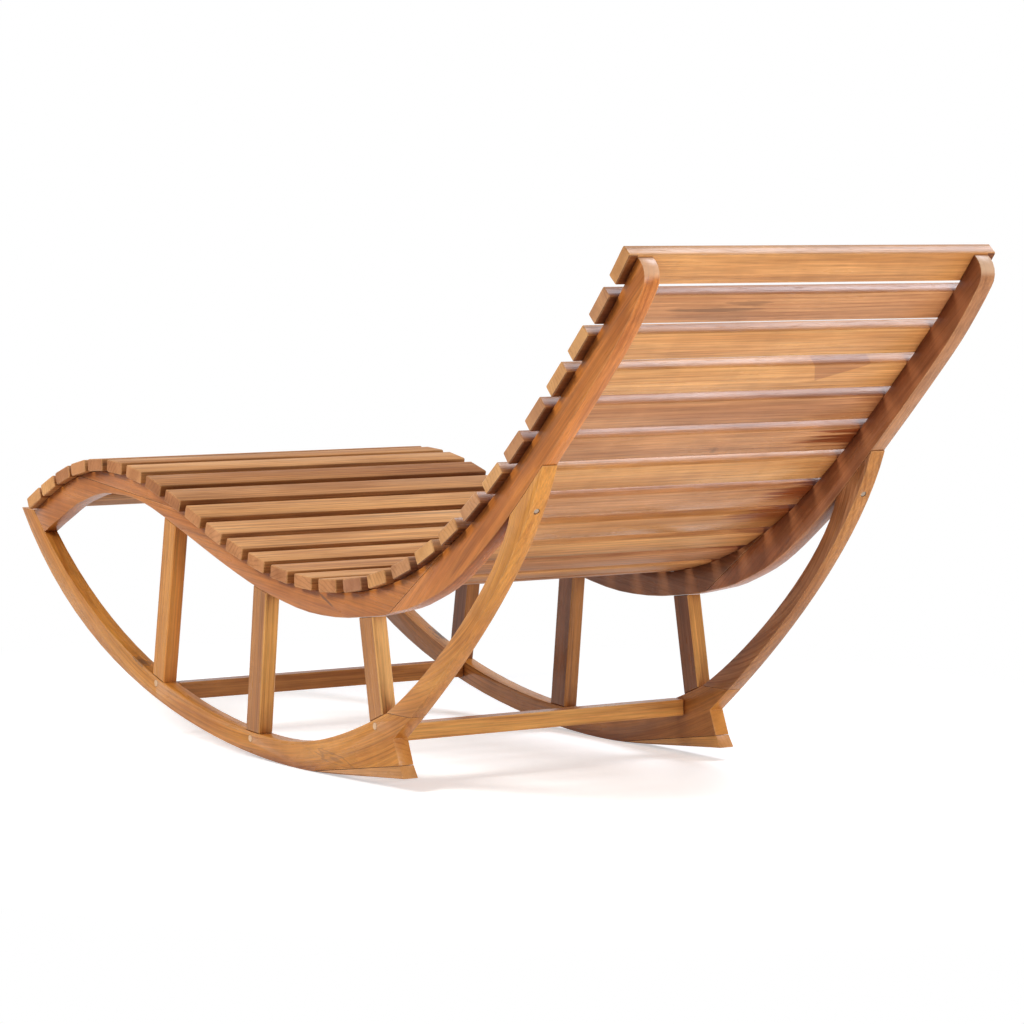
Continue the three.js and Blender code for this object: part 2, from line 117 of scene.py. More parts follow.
# Tones of the side pieces: outer faces, inner faces, rear faces of the left piece and of the right piece.
# The inner tones paint the light on the inner faces: darker shade under the seat on most pieces, paler on
# the heel wedge
SIDE_TONES_AND_SHADE = {
    "rocker": ("honey", "umber", "honey", "honey"),
    "heel_wedge": ("tan", "pale", "tan", "tan"),
    "seat_rail": ("amber", "dark", "amber", "umber"),
    "knee_crest": ("amber", "russet", "amber", "umber"),
    "back_rail": ("ember", "russet", "ember", "brown"),
    "rear_arm": ("honey", "brown", "honey", "umber"),
    "front_post": ("honey", "dark", "flame", "umber"),
    "middle_post": ("umber", "dark", "caramel", "umber"),
    "rear_post": ("umber", "dark", "pale", "caramel"),
}
CURVED_PIECES = ("rocker", "rear_arm")
# Tones of the stretchers: the faces, and the rear face
STRETCHER_TONES = {"front_stretcher": ("amber", "umber"), "rear_stretcher": ("honey", "caramel")}

# Layers of the grain: scale along it and across it, detail, roughness, distortion and the range that shows
LAYERS = {
    "clouds": (3.0, 18.0, 4.0, 0.6, 0.0, 0.36, 0.66),
    "bands": (1.5, 120.0, 3.0, 0.6, 0.0, 0.34, 0.68),
    "fibres": (6.0, 380.0, 3.0, 0.6, 0.0, 0.30, 0.70),
    "lines": (14.0, 1000.0, 2.0, 0.55, 0.0, 0.32, 0.68),
    "pores": (40.0, 1200.0, 1.0, 0.55, 0.0, 0.62, 0.72),
    "ripple": (30.0, 7.0, 2.0, 0.55, 0.0, 0.35, 0.65),
    "veins": (1.4, 58.0, 3.0, 0.6, 0.4, 0.58, 0.74),
    "ring_fade": (2.0, 14.0, 2.0, 0.55, 0.0, 0.38, 0.62),
}
# Growth rings: their stretch, their waves, the part of each wave that shows and how they bend
RING_STRETCH = (0.05, 1.0, 1.0)
RING_WAVES = {
    "Scale": 44.0,
    "Distortion": 3.0,
    "Detail": 3.0,
    "Detail Scale": 0.8,
    "Detail Roughness": 0.6,
}
RING_LINE = (0.62, 1.0)
BEND_SCALE = (2.4, 16.0, 16.0)
BEND_DETAIL = 2.0
BEND_ROUGHNESS = 0.5
BEND_TURNS = 22.0
# How much each layer shows: alone, or at no streaks and for each unit of streaks
CLOUD_GAIN = 0.62
RING_GAIN = 0.38
LINE_GAIN = 0.08
PORE_GAIN = 0.22
BAND_GAIN = (0.22, 0.32)
FIBRE_GAIN = (0.12, 0.38)
RIPPLE_GAIN = (0.16, -0.18)
END_FADE = 0.8
MIDDLE = 0.5
# Each board is cut from its own place in the wood
GRAIN_STEP = 1.7
GRAIN_SHIFT = 0.055
GRAIN_TURN = 2.4
FRAME_SEED = 40.0
RIGHT_SEED_SHIFT = 0.37
STRETCHER_SEED = 60.0
# Surface of the wood, and the depth of its bumps in metres
WOOD_ROUGHNESS = (0.26, 0.34)
PORE_ROUGHNESS = 0.2
WOOD_SPECULAR = 0.25
FIBRE_HEIGHT = 0.5
RING_HEIGHT = 0.35
BUMP_STRENGTH = 0.25
BUMP_DEPTH = 0.0006
# How far the back rails' cut ends take the painted highlight
RAIL_END_HIGHLIGHT = 0.5
WORN_SHARE = 0.4
WORN_POLISH = 0.08

# Marks in the wood: kind, centre and half sizes in metres, turn in degrees, strength
MARKS = {
    "rocker_left": (
        ("knot", (0.281, -0.483, 0.112), (0.016, 0.032, 0.010), -19, 0.90),
        ("eye", (0.287, 0.124, 0.026), (0.020, 0.085, 0.013), -5, 0.55),
    ),
    "rocker_right": (("knot", (-0.284, -0.500, 0.119), (0.014, 0.044, 0.020), -20, 1.00),),
    "seat_rail_left": (("vein", (0.287, 0.104, 0.254), (0.020, 0.028, 0.0022), -23, 0.80),),
    "slat_24": (("knot", (-0.030, 0.612, 0.481), (0.012, 0.012, 0.012), 0, 0.60),),
    "slat_28": (
        ("vein", (0.115, 0.819, 0.676), (0.075, 0.0045, 0.005), 43, 0.60),
        ("vein", (0.070, 0.827, 0.684), (0.036, 0.0045, 0.006), 43, 0.50),
        ("vein", (0.105, 0.814, 0.670), (0.070, 0.0130, 0.012), 43, 0.22),
    ),
}
MARK_SCALE = (1.6, 1.6, 1.6)
MARK_SEED = 7.0
MARK_DETAIL = 2.0
MARK_UNEVEN = (0.65, 1.4)
MARK_RIM = (1.15, 0.55)
MARK_CORE = (0.6, 0.2)
MARK_RINGS = 15.0
MARK_RING_RANGE = (-0.2, 1.0)
MARK_RING_SHARE = 0.7
# The darker wedge of wood on one back slat: its leaning end, then its slanting foot
PATCH_SLAT = "slat_26"
PATCH_END = -0.1029
PATCH_LEAN = 0.555
PATCH_TOP = 0.9467
PATCH_RISE = 0.39
PATCH_FOOT = 0.868
PATCH_EDGE = 0.0015
PATCH_ACROSS = (0.0, 0.73, 0.68)
PATCH_TINT = (0.75, 0.69, 0.77, 1.0)
# Darker streaks on the back slats' rear faces toward the right rail: strength on each slat, its streaks,
# reach and tint
RIGHT_END_DARKENING = {
    "slat_19": 0.7,
    "slat_20": 0.5,
    "slat_21": 0.9,
    "slat_22": 1.0,
    "slat_23": 0.3,
    "slat_24": 1.0,
    "slat_25": 0.5,
}
DARKENING_SCALE = (3.0, 150.0, 150.0)
DARKENING_SEED = 5.0
DARKENING_DETAIL = 3.0
DARKENING_SWING = (-0.5, 0.5)
DARKENING_START = -0.195
DARKENING_FULL = -0.240
DARKENING_SPREAD = 0.13
DARKENING_TINT = (0.44, 0.23, 0.14, 1.0)

# The plugs' end grain
PLUG_SCALE = (60.0, 700.0, 700.0)
PLUG_SEED = 3.0
PLUG_DETAIL = 3.0
PLUG_RANGE = (0.35, 0.7)
PLUG_LIGHT = (0.80, 0.53, 0.33, 1.0)
PLUG_DARK = (0.62, 0.36, 0.18, 1.0)
PLUG_BUMP_STRENGTH = 0.3
PLUG_BUMP_DEPTH = 0.0004
PLUG_ROUGHNESS = 0.62
# The screws' steel
STEEL_SCALE = (900.0, 900.0, 900.0)
STEEL_SEED = 1.0
STEEL_DETAIL = 4.0
STEEL_LIGHT = (0.50, 0.40, 0.30, 1.0)
STEEL_DARK = (0.26, 0.19, 0.14, 1.0)
STEEL_ROUGHNESS = (0.22, 0.4)

# Softened edges, in metres and degrees
BOARD_EASE = 0.0008
CREST_EASE = 0.0003
EASE_SEGMENTS = 2
SMOOTH_ANGLE = 25
FLAT_ANGLE = 0.3
WELD = 0.00002
# Worn edges, and the painted shade in crevices where pieces come close, in metres, and the ranges in which
# they show
WEAR_RADIUS = 0.004
WEAR_RANGE = (0.98, 0.75)
CREVICE_SHADE_REACH = 0.035
CREVICE_SHADE_RANGE = (0.9, 0.2)
CREVICE_SHADE_TINT = (0.42, 0.24, 0.17, 1.0)
SHADER_SAMPLES = 4
# How squarely a face looks one way, from not at all to fully
FACING_RANGE = (0.35, 0.65)
CUT_END_RANGE = (0.6, 0.9)
# The usual range of a noise
NOISE_RANGE = (0.3, 0.7)


def add_node(tree, kind, inputs=None, **settings):
    made = tree.nodes.new(kind)
    for name, value in settings.items():
        setattr(made, name, value)
    for name, value in (inputs or {}).items():
        socket = made.inputs[name]
        if isinstance(value, bpy.types.NodeSocket):
            tree.links.new(value, socket)
        else:
            socket.default_value = value
    return made


def math_node(tree, operation, first, second=0.0, clamp=False):
    made = add_node(tree, "ShaderNodeMath", {0: first, 1: second}, operation=operation, use_clamp=clamp)
    return made.outputs["Value"]


def times(tree, first, second):
    return math_node(tree, "MULTIPLY", first, second)


def plus(tree, first, second, clamp=False):
    return math_node(tree, "ADD", first, second, clamp)


def minus(tree, first, second):
    return math_node(tree, "SUBTRACT", first, second)


def vector_node(tree, operation, inputs, result):
    return add_node(tree, "ShaderNodeVectorMath", inputs, operation=operation).outputs[result]


def scaled(tree, vector, factors):
    return vector_node(tree, "MULTIPLY", {0: vector, 1: factors}, "Vector")


def moved(tree, vector, offset):
    return vector_node(tree, "ADD", {0: vector, 1: offset}, "Vector")


def dot(tree, first, second):
    return vector_node(tree, "DOT_PRODUCT", {0: first, 1: second}, "Value")


def length(tree, vector):
    return vector_node(tree, "LENGTH", {0: vector}, "Value")


def turned_about_x(tree, vector, angle):
    facts = {"Vector": vector, "Angle": angle}
    return add_node(tree, "ShaderNodeVectorRotate", facts, rotation_type="X_AXIS").outputs["Vector"]


def object_point(tree):
    return add_node(tree, "ShaderNodeTexCoord").outputs["Object"]


def separated(tree, vector):
    return add_node(tree, "ShaderNodeSeparateXYZ", {"Vector": vector}).outputs


def true_normal(tree):
    return add_node(tree, "ShaderNodeNewGeometry").outputs["Normal"]


def ranged(tree, value, low, high, to_low=0.0, to_high=1.0):
    made = add_node(
        tree,
        "ShaderNodeMapRange",
        {"Value": value, "From Min": low, "From Max": high, "To Min": to_low, "To Max": to_high},
        interpolation_type="SMOOTHSTEP",
    )
    return made.outputs["Result"]


def mixed(tree, factor, first, second, blend="MIX"):
    made = add_node(tree, "ShaderNodeMix", data_type="RGBA", blend_type=blend)
    for name, value in (("Factor_Float", factor), ("A_Color", first), ("B_Color", second)):
        socket = next(s for s in made.inputs if s.identifier == name)
        if isinstance(value, bpy.types.NodeSocket):
            tree.links.new(value, socket)
        else:
            socket.default_value = value
    return next(s for s in made.outputs if s.identifier == "Result_Color")


def tinted(tree, color, tint, amount):
    """The colour times a tint, as far as the amount says."""
    return mixed(tree, amount, color, mixed(tree, 1.0, color, tint, "MULTIPLY"))


def grey(tree, value):
    made = add_node(tree, "ShaderNodeCombineColor", {"Red": value, "Green": value, "Blue": value})
    return made.outputs["Color"]


def noise(tree, vector, seed, detail, roughness=0.55, distortion=0.0):
    made = add_node(
        tree,
        "ShaderNodeTexNoise",
        {
            "Vector": vector,
            "W": seed,
            "Scale": 1.0,
            "Detail": detail,
            "Roughness": roughness,
            "Distortion": distortion,
        },
        noise_dimensions="4D",
    )
    return made.outputs["Fac"]


def layer(tree, name, grain, seed):
    """One layer of the grain, from 0 to 1."""
    along, across, detail, roughness, distortion, low, high = LAYERS[name]
    stretched = scaled(tree, grain, (along, across, across))
    return ranged(tree, noise(tree, stretched, seed, detail, roughness, distortion), low, high)


def growth_rings(tree, grain, seed):
    """Rings around the grain, bent as they are in a sawn board."""
    bend = noise(tree, scaled(tree, grain, BEND_SCALE), seed, BEND_DETAIL, BEND_ROUGHNESS)
    phase = plus(tree, times(tree, bend, BEND_TURNS), seed)
    place = scaled(tree, grain, RING_STRETCH)
    return add_node(
        tree,
        "ShaderNodeTexWave",
        {"Vector": place, "Phase Offset": phase, **RING_WAVES},
        wave_type="RINGS",
        rings_direction="X",
        wave_profile="SIN",
    ).outputs["Fac"]


def gained(tree, streaks, gain):
    """How much a layer shows: its share at no streaks and what each unit of streaks adds."""
    base, slope = gain
    return plus(tree, times(tree, streaks, slope), base)


def teak_group():
    """Teak seen in grain space: X runs along the grain, Y and Z across it, in metres."""
    tree = bpy.data.node_groups.new("teak", "ShaderNodeTree")
    sockets = (
        ("INPUT", "Grain", "NodeSocketVector"),
        ("INPUT", "Seed", "NodeSocketFloat"),
        ("INPUT", "Ground", "NodeSocketColor"),
        ("INPUT", "Figure", "NodeSocketColor"),
        ("INPUT", "Streaks", "NodeSocketFloat"),
        ("INPUT", "End", "NodeSocketFloat"),
        ("OUTPUT", "Color", "NodeSocketColor"),
        ("OUTPUT", "Roughness", "NodeSocketFloat"),
        ("OUTPUT", "Height", "NodeSocketFloat"),
    )
    for way, name, kind in sockets:
        tree.interface.new_socket(name, in_out=way, socket_type=kind)
    given = add_node(tree, "NodeGroupInput").outputs
    grain, seed, streaks = given["Grain"], given["Seed"], given["Streaks"]
    along = minus(tree, 1.0, times(tree, given["End"], END_FADE))
    clouds, bands, fibres, lines, pores, ripple, veins, ring_fade = (
        layer(tree, name, grain, seed) for name in LAYERS
    )
    rings = growth_rings(tree, grain, seed)
    ring_amount = times(tree, ranged(tree, rings, *RING_LINE), ring_fade)

    band_gain = times(tree, gained(tree, streaks, BAND_GAIN), along)
    amount = plus(tree, times(tree, clouds, CLOUD_GAIN), times(tree, bands, band_gain))
    amount = plus(tree, amount, times(tree, ring_amount, RING_GAIN), clamp=True)
    color = mixed(tree, amount, given["Ground"], given["Figure"])
    color = mixed(tree, times(tree, times(tree, veins, streaks), along), color, DARK_VEIN)

    light = times(tree, minus(tree, fibres, MIDDLE), gained(tree, streaks, FIBRE_GAIN))
    light = plus(tree, light, ranged(tree, lines, 0.0, 1.0, -LINE_GAIN, LINE_GAIN))
    light = times(tree, light, along)
    waver = times(tree, minus(tree, ripple, MIDDLE), gained(tree, streaks, RIPPLE_GAIN))
    light = plus(tree, plus(tree, light, waver), 1.0)
    color = mixed(tree, 1.0, color, grey(tree, light), "MULTIPLY")
    color = mixed(tree, times(tree, pores, PORE_GAIN), color, DARK_VEIN)

    rough = ranged(tree, clouds, 0.0, 1.0, *WOOD_ROUGHNESS)
    rough = plus(tree, rough, times(tree, pores, PORE_ROUGHNESS))
    height = minus(tree, times(tree, fibres, FIBRE_HEIGHT), pores)
    height = plus(tree, height, times(tree, rings, RING_HEIGHT))
    result = add_node(tree, "NodeGroupOutput")
    for name, value in (("Color", color), ("Roughness", rough), ("Height", height)):
        tree.links.new(value, result.inputs[name])
    return tree


TEAK = teak_group()


def side_points(name):
    """The Y and Z of a node's corners, in metres."""
    mesh = nodes[name].data
    flat = np.empty(len(mesh.vertices) * 3)
    mesh.vertices.foreach_get("co", flat)
    points = flat.reshape(-1, 3) @ np.array(nodes[name].matrix_world)[:3, :3].T
    return points[:, 1:]


def chord_angle(name):
    """The slope of a board's longest direction in the side view."""
    points = side_points(name)
    spread = np.linalg.svd(points - points.mean(0), full_matrices=False)[2][0]
    return math.atan2(spread[1], spread[0])


def arc_centre(name):
    """Centre and radius of the circle that best follows a curved board in the side view."""
    points = side_points(name)
    rows = np.column_stack([2 * points, np.ones(len(points))])
    y, z, rest = np.linalg.lstsq(rows, (points**2).sum(1), rcond=None)[0]
    return y, z, math.sqrt(rest + y * y + z * z)


def straight_grain(tree, name, offset):
    """Grain along the board's chord."""
    parts = separated(tree, turned_about_x(tree, object_point(tree), -chord_angle(name)))
    joined = add_node(tree, "ShaderNodeCombineXYZ", {"X": parts["Y"], "Y": parts["X"], "Z": parts["Z"]})
    return moved(tree, joined.outputs["Vector"], offset)


def arc_grain(tree, name, offset):
    """Grain that follows the board's curve."""
    y, z, radius = arc_centre(name)
    parts = separated(tree, object_point(tree))
    across = minus(tree, parts["Y"], y)
    up = minus(tree, parts["Z"], z)
    turn = math_node(tree, "ARCTAN2", across, times(tree, up, -1.0))
    along = times(tree, turn, radius)
    squares = plus(tree, math_node(tree, "POWER", across, 2.0), math_node(tree, "POWER", up, 2.0))
    out = math_node(tree, "SQRT", squares)
    joined = add_node(tree, "ShaderNodeCombineXYZ", {"X": along, "Y": parts["X"], "Z": out})
    return moved(tree, joined.outputs["Vector"], offset)


def crosswise_grain(tree, name, offset):
    """Grain along X, for slats and stretchers."""
    return moved(tree, object_point(tree), offset)


def cut_across(tree, name, grain):
    """1 on a board's ends, where the grain is cut across."""
    if grain is crosswise_grain:
        axis = (1.0, 0.0, 0.0)
    else:
        angle = chord_angle(name)
        axis = (0.0, math.cos(angle), math.sin(angle))
    share = math_node(tree, "ABSOLUTE", dot(tree, true_normal(tree), axis))
    return ranged(tree, share, *CUT_END_RANGE)


def facing(tree, way):
    """1 on faces that look one way, where a board's other cut shows."""
    return ranged(tree, dot(tree, true_normal(tree), way), *FACING_RANGE)


def from_mark(tree, place, size, turn):
    """0 at a mark's centre and about 1 at its rim, a little uneven."""
    away = moved(tree, object_point(tree), tuple(-part for part in place))
    turned = turned_about_x(tree, away, math.radians(-turn))
    shrunk = scaled(tree, turned, tuple(1 / part for part in size))
    ragged = noise(tree, scaled(tree, shrunk, MARK_SCALE), MARK_SEED, MARK_DETAIL)
    return times(tree, length(tree, shrunk), ranged(tree, ragged, *NOISE_RANGE, *MARK_UNEVEN))


def mark(tree, color, kind, place, size, turn, strength):
    """A knot with rings, an eye of rings without a core, or a dark vein."""
    reach = from_mark(tree, place, size, turn)
    inside = ranged(tree, reach, *MARK_RIM)
    if kind == "vein":
        return mixed(tree, times(tree, inside, strength), color, DARK_VEIN)
    waves = ranged(tree, math_node(tree, "SINE", times(tree, reach, MARK_RINGS)), *MARK_RING_RANGE)
    amount = times(tree, times(tree, inside, waves), strength * MARK_RING_SHARE)
    if kind == "knot":
        core = times(tree, ranged(tree, reach, *MARK_CORE), strength)
        amount = math_node(tree, "MAXIMUM", amount, core)
    return mixed(tree, amount, color, DARK_VEIN)


def patch(tree, looks_back):
    """1 on the darker wedge of wood on one back slat's rear."""
    point = object_point(tree)
    side = separated(tree, point)["X"]
    across = dot(tree, point, PATCH_ACROSS)
    lean = times(tree, minus(tree, across, PATCH_TOP), PATCH_LEAN)
    started = ranged(tree, minus(tree, side, lean), PATCH_END, PATCH_END - PATCH_EDGE)
    slant = plus(tree, times(tree, side, PATCH_RISE), across)
    above = ranged(tree, slant, PATCH_FOOT, PATCH_FOOT + PATCH_EDGE)
    return times(tree, times(tree, started, above), looks_back)


def right_end_darken(tree, strength, looks_back):
    """Darker toward the right rail on the rear face, running out along the fibres in streaks."""
    point = object_point(tree)
    side = separated(tree, point)["X"]
    streaks = noise(tree, scaled(tree, point, DARKENING_SCALE), DARKENING_SEED, DARKENING_DETAIL)
    streaks = ranged(tree, streaks, *NOISE_RANGE, *DARKENING_SWING)
    reach = plus(tree, side, times(tree, streaks, DARKENING_SPREAD))
    amount = times(tree, ranged(tree, reach, DARKENING_START, DARKENING_FULL), strength)
    return times(tree, amount, looks_back)


def stub_shadow(tree):
    """1 on the underside of a back slat's end outside the side rail, where the rail's shadow is painted."""
    side = separated(tree, object_point(tree))["X"]
    outside = ranged(tree, math_node(tree, "ABSOLUTE", side), STUB_START, STUB_START + STUB_EDGE)
    return times(tree, outside, facing(tree, STUB_WAY))


def own_marks(tree, name, color, cut_end, looks_back):
    """What only some boards have: dark ends, the patch, knots, veins, back rail ends painted pale as a
    highlight, darkening toward the right rail, and the painted shadow under the slat ends.
    """
    if name in DARK_END_SLATS:
        color = tinted(tree, color, DARK_END_TINT, cut_end)
    if name == PATCH_SLAT:
        color = tinted(tree, color, PATCH_TINT, patch(tree, looks_back))
    for kind, place, size, turn, strength in MARKS.get(name, ()):
        color = mark(tree, color, kind, place, size, turn, strength)
    # Painted highlight: the back rails' lit cut ends are painted pale
    if name.startswith("back_rail"):
        color = mixed(tree, times(tree, cut_end, RAIL_END_HIGHLIGHT), color, END_GRAIN_HIGHLIGHT)
    if name in RIGHT_END_DARKENING:
        color = tinted(tree, color, DARKENING_TINT, right_end_darken(tree, RIGHT_END_DARKENING[name], looks_back))
    # Painted shadow of the side rail on the undersides of the slat ends
    if name in STUB_SLATS:
        color = tinted(tree, color, STUB_SHADOW_TINT, stub_shadow(tree))
    return color


def painted_crevice_shade(tree):
    """White on open faces, and a painted dark red-brown shade where pieces come close, which also darkens
    the joints.
    """
    reach = {"Distance": CREVICE_SHADE_REACH}
    open_share = add_node(tree, "ShaderNodeAmbientOcclusion", reach, samples=SHADER_SAMPLES).outputs["AO"]
    return mixed(tree, ranged(tree, open_share, *CREVICE_SHADE_RANGE), WHITE, CREVICE_SHADE_TINT)


def edge_wear(tree):
    """About 1 at a board's edges and 0 on its faces."""
    radius = {"Radius": WEAR_RADIUS}
    soft = add_node(tree, "ShaderNodeBevel", radius, samples=SHADER_SAMPLES).outputs["Normal"]
    return ranged(tree, dot(tree, soft, true_normal(tree)), *WEAR_RANGE)


def new_material(name):
    material = bpy.data.materials.new(name)
    material.use_nodes = True
    return material, material.node_tree, material.node_tree.nodes["Principled BSDF"]


def add_bump(tree, shader, height, strength, depth):
    facts = {"Height": height, "Strength": strength, "Distance": depth}
    bump = add_node(tree, "ShaderNodeBump", facts)
    tree.links.new(bump.outputs["Normal"], shader.inputs["Normal"])


def teak(name, grain, tone, seed, streaks, rear_tone=None, inner_shaded_tone=None, matt=0.0):
    """A teak material of its own for one board."""
    material, tree, shader = new_material(f"teak_{name}")
    turn = seed * GRAIN_TURN
    offset = (seed * GRAIN_STEP, GRAIN_SHIFT * math.cos(turn), GRAIN_SHIFT * math.sin(turn))
    cut_end = cut_across(tree, name, grain)
    wood = tree.nodes.new("ShaderNodeGroup")
    wood.node_tree = TEAK
    wood.inputs["Seed"].default_value = seed
    wood.inputs["Streaks"].default_value = streaks
    tree.links.new(grain(tree, name, offset), wood.inputs["Grain"])
    tree.links.new(cut_end, wood.inputs["End"])

    # Inward faces take the inner tone, which paints their shade under the seat
    inward = -1.0 if name.endswith("left") else 1.0
    looks_in = facing(tree, (inward, 0.0, 0.0))
    looks_back = facing(tree, (0.0, 1.0, 0.0))
    tones = (TONES[tone], TONES[inner_shaded_tone or tone], TONES[rear_tone or tone])
    for socket, outer, inner_shaded, rear in zip(("Ground", "Figure"), *tones):
        shade = mixed(tree, looks_in, (*outer, 1.0), (*inner_shaded, 1.0))
        tree.links.new(mixed(tree, looks_back, shade, (*rear, 1.0)), wood.inputs[socket])

    color = own_marks(tree, name, wood.outputs["Color"], cut_end, looks_back)
    worn = edge_wear(tree)
    color = mixed(tree, times(tree, worn, WORN_SHARE), color, WORN_EDGE)
    # Painted shade: darker red-brown where pieces come close together, which also darkens the joints
    color = mixed(tree, 1.0, color, painted_crevice_shade(tree), "MULTIPLY")
    tree.links.new(color, shader.inputs["Base Color"])
    dulled = minus(tree, matt, times(tree, worn, WORN_POLISH))
    tree.links.new(plus(tree, wood.outputs["Roughness"], dulled), shader.inputs["Roughness"])
    add_bump(tree, shader, wood.outputs["Height"], BUMP_STRENGTH, BUMP_DEPTH)
    shader.inputs["Specular IOR Level"].default_value = WOOD_SPECULAR
    return material


def plug_material():
    """End grain of the small wooden plugs."""
    material, tree, shader = new_material("plug_end_grain")
    rings = noise(tree, scaled(tree, object_point(tree), PLUG_SCALE), PLUG_SEED, PLUG_DETAIL)
    color = mixed(tree, ranged(tree, rings, *PLUG_RANGE), PLUG_LIGHT, PLUG_DARK)
    tree.links.new(color, shader.inputs["Base Color"])
    add_bump(tree, shader, rings, PLUG_BUMP_STRENGTH, PLUG_BUMP_DEPTH)
    shader.inputs["Roughness"].default_value = PLUG_ROUGHNESS
    return material


def steel_material():
    """Scuffed steel of the screw heads."""
    material, tree, shader = new_material("screw_steel")
    scuffs = noise(tree, scaled(tree, object_point(tree), STEEL_SCALE), STEEL_SEED, STEEL_DETAIL)
    tree.links.new(mixed(tree, scuffs, STEEL_LIGHT, STEEL_DARK), shader.inputs["Base Color"])
    rough = ranged(tree, scuffs, *NOISE_RANGE, *STEEL_ROUGHNESS)
    tree.links.new(rough, shader.inputs["Roughness"])
    shader.inputs["Metallic"].default_value = 1.0
    return material


def smooth_group():
    """A modifier that shades edges smooth where they turn less than SMOOTH_ANGLE."""
    tree = bpy.data.node_groups.new("smooth_by_angle", "GeometryNodeTree")
    tree.interface.new_socket("Geometry", in_out="INPUT", socket_type="NodeSocketGeometry")
    tree.interface.new_socket("Geometry", in_out="OUTPUT", socket_type="NodeSocketGeometry")
    given = add_node(tree, "NodeGroupInput").outputs[0]
    angle = add_node(tree, "GeometryNodeInputMeshEdgeAngle").outputs["Unsigned Angle"]
    limits = {0: angle, 1: math.radians(SMOOTH_ANGLE)}
    gentle = add_node(tree, "FunctionNodeCompare", limits, operation="LESS_EQUAL").outputs["Result"]
    faces = add_node(tree, "GeometryNodeSetShadeSmooth", {0: given}, domain="FACE").outputs[0]
    gentle_edges = {0: faces, "Shade Smooth": gentle}
    edges = add_node(tree, "GeometryNodeSetShadeSmooth", gentle_edges, domain="EDGE").outputs[0]
    result = add_node(tree, "NodeGroupOutput")
    tree.links.new(edges, result.inputs[0])
    return tree


SMOOTH = smooth_group()


def soften(name, ease):
    """Welds the board's faces, rounds its edges and shades it smooth."""
    piece = nodes[name]
    weld = piece.modifiers.new("weld", "WELD")
    weld.merge_threshold = WELD
    flat = piece.modifiers.new("flat", "DECIMATE")
    flat.decimate_type = "DISSOLVE"
    flat.angle_limit = math.radians(FLAT_ANGLE)
    if ease:
        bevel = piece.modifiers.new("ease", "BEVEL")
        bevel.width = ease
        bevel.segments = EASE_SEGMENTS
        bevel.limit_method = "ANGLE"
        bevel.angle_limit = math.radians(SMOOTH_ANGLE)
        bevel.use_clamp_overlap = False
    smooth = piece.modifiers.new("smooth", "NODES")
    smooth.node_group = SMOOTH


def dress(name, material, ease=0):
    piece = nodes[name]
    piece.data.materials.clear()
    piece.data.materials.append(material)
    soften(name, ease)


def dress_slats():
    for index, tone in enumerate(SLAT_TONES, 1):
        name = f"slat_{index:02d}"
        dull = index <= DULL_SLATS
        streaks = SEAT_STREAKS if dull else BACK_STREAKS
        matt = SEAT_MATT if dull else 0.0
        dress(name, teak(name, crosswise_grain, tone, float(index), streaks, matt=matt))


def dress_frames():
    for count, (piece, (outer, inner_shaded, *rears)) in enumerate(SIDE_TONES_AND_SHADE.items()):
        grain = arc_grain if piece in CURVED_PIECES else straight_grain
        is_post = piece.endswith("post")
        ease = {"knee_crest": CREST_EASE}.get(piece, 0 if is_post else BOARD_EASE)
        streaks = POST_STREAKS if is_post else BOARD_STREAKS
        for side, shift, rear in zip(("left", "right"), (0.0, RIGHT_SEED_SHIFT), rears):
            name = f"{piece}_{side}"
            seed = FRAME_SEED + count + shift
            dress(name, teak(name, grain, outer, seed, streaks, rear, inner_shaded), ease)


def dress_stretchers():
    for count, (name, (tone, rear)) in enumerate(STRETCHER_TONES.items()):
        seed = STRETCHER_SEED + count
        dress(name, teak(name, crosswise_grain, tone, seed, STRETCHER_STREAKS, rear))


def dress_fasteners():
    plug = plug_material()
    steel = steel_material()
    for side in ("left", "right"):
        for post in ("front", "middle", "rear"):
            dress(f"{post}_plug_{side}", plug)
        dress(f"arm_screw_{side}", steel)


def add_camera():
    yaw, pitch, roll = (math.radians(a) for a in (CAMERA_YAW, CAMERA_PITCH, CAMERA_ROLL))
    ahead = Vector((-math.sin(yaw) * math.cos(pitch), -math.cos(yaw) * math.cos(pitch), math.sin(pitch)))
    right = Vector((-math.cos(yaw), math.sin(yaw), 0.0))
    up = right.cross(ahead)
    turned_right = right * math.cos(roll) + up * math.sin(roll)
    turned_up = up * math.cos(roll) - right * math.sin(roll)
    camera = bpy.data.objects.new("camera", bpy.data.cameras.new("camera"))
    camera.data.sensor_width = SENSOR_WIDTH
    camera.data.lens = FOCAL_PIXELS * SENSOR_WIDTH / IMAGE_PIXELS
    axes = Matrix((turned_right, turned_up, -ahead)).transposed().to_4x4()
    camera.matrix_world = Matrix.Translation(CAMERA_PLACE) @ axes
    bpy.context.collection.objects.link(camera)
    bpy.context.scene.camera = camera


def add_lamps():
    for name, facts in LAMPS.items():
        lamp = bpy.data.lights.new(name, "AREA")
        lamp.size = facts["size"]
        lamp.energy = facts["power"]
        lamp.color = facts["color"]
        holder = bpy.data.objects.new(name, lamp)
        holder.visible_camera = False
        place = Vector(facts["place"])
        turn = (place - Vector(facts["aim"])).to_track_quat("Z", "Y")
        holder.matrix_world = Matrix.Translation(place) @ turn.to_matrix().to_4x4()
        bpy.context.collection.objects.link(holder)


def background_rays(tree):
    """1 for the rays that show the background: camera, glossy and transmission."""
    rays = add_node(tree, "ShaderNodeLightPath").outputs
    seen = math_node(tree, "MAXIMUM", rays["Is Camera Ray"], rays["Is Transmission Ray"])
    return math_node(tree, "MAXIMUM", seen, rays["Is Glossy Ray"])


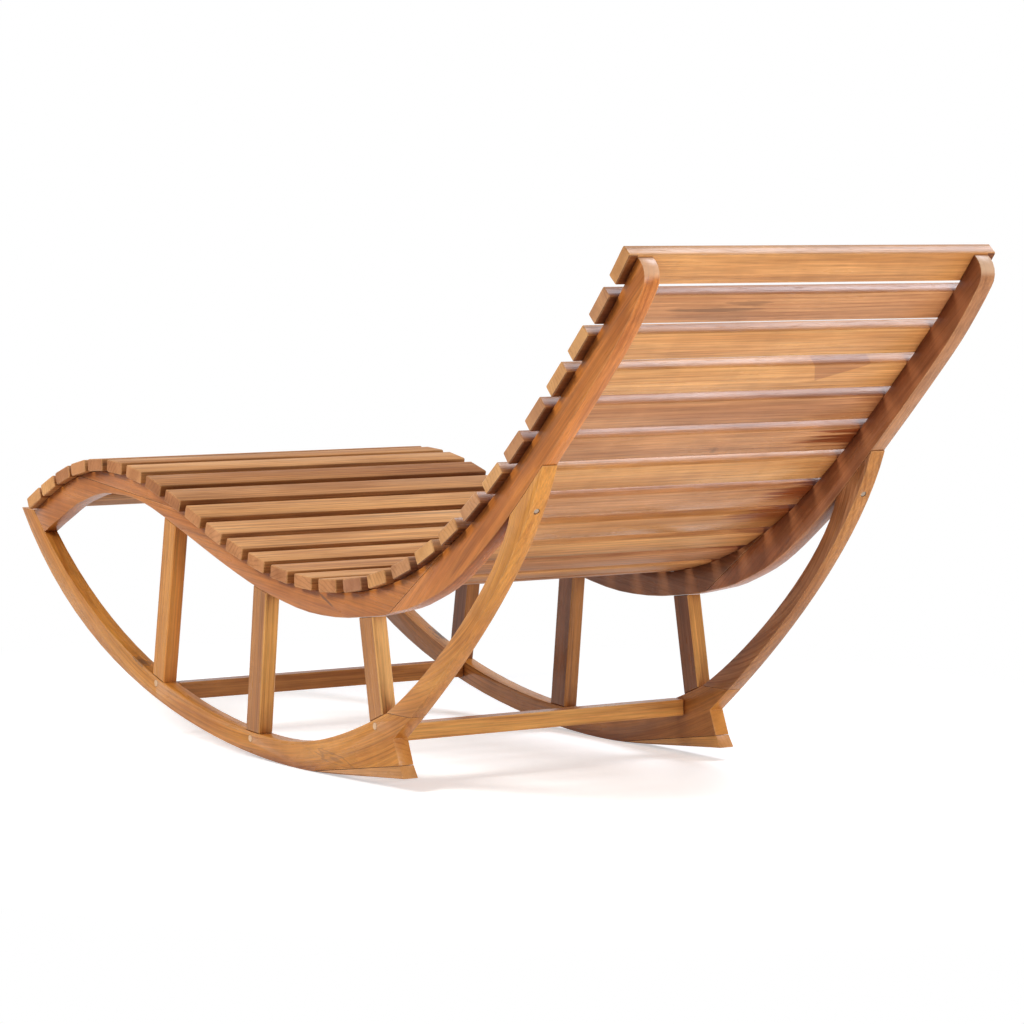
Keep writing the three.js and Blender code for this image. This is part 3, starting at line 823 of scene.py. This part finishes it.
def add_world():
    """White where it shows, and a weaker even light on the chaise."""
    world = bpy.data.worlds.new("studio")
    world.use_nodes = True
    bpy.context.scene.world = world
    tree = world.node_tree
    tree.nodes.clear()
    strength = ranged(tree, background_rays(tree), 0.0, 1.0, AMBIENT, 1.0)
    back = add_node(tree, "ShaderNodeBackground", {"Color": WHITE, "Strength": strength})
    add_node(tree, "ShaderNodeOutputWorld", {"Surface": back.outputs["Background"]})


def floor_material():
    """Pale near the chaise, where it takes its shadow, and plain white further out."""
    material = bpy.data.materials.new("floor")
    material.use_nodes = True
    tree = material.node_tree
    tree.nodes.clear()
    seen = background_rays(tree)
    color = grey(tree, ranged(tree, seen, 0.0, 1.0, FLOOR_BOUNCE, FLOOR_SHADE))
    matt = add_node(tree, "ShaderNodeBsdfDiffuse", {"Color": color}).outputs["BSDF"]
    glow_strength = times(tree, seen, FLOOR_GLOW)
    glow = add_node(tree, "ShaderNodeEmission", {"Strength": glow_strength}).outputs["Emission"]
    near = add_node(tree, "ShaderNodeAddShader", {0: matt, 1: glow}).outputs["Shader"]
    white = add_node(tree, "ShaderNodeEmission", {"Strength": 1.0}).outputs["Emission"]
    distance = length(tree, scaled(tree, object_point(tree), SHADOW_STRETCH))
    faded = times(tree, ranged(tree, distance, SHADOW_NEAR, SHADOW_FAR), seen)
    both = add_node(tree, "ShaderNodeMixShader", {0: faded, 1: near, 2: white}).outputs["Shader"]
    add_node(tree, "ShaderNodeOutputMaterial", {"Surface": both})
    return material


def add_floor():
    mesh = bpy.data.meshes.new("floor")
    half = FLOOR_SIZE / 2
    corners = [(-half, -half, 0), (half, -half, 0), (half, half, 0), (-half, half, 0)]
    mesh.from_pydata(corners, [], [(0, 1, 2, 3)])
    mesh.materials.append(floor_material())
    floor = bpy.data.objects.new("floor", mesh)
    floor.location.z = -FLOOR_DROP
    bpy.context.collection.objects.link(floor)


dress_slats()
dress_frames()
dress_stretchers()
dress_fasteners()
add_camera()
add_lamps()
add_world()
add_floor()
bpy.context.scene.view_settings.view_transform = "Standard"
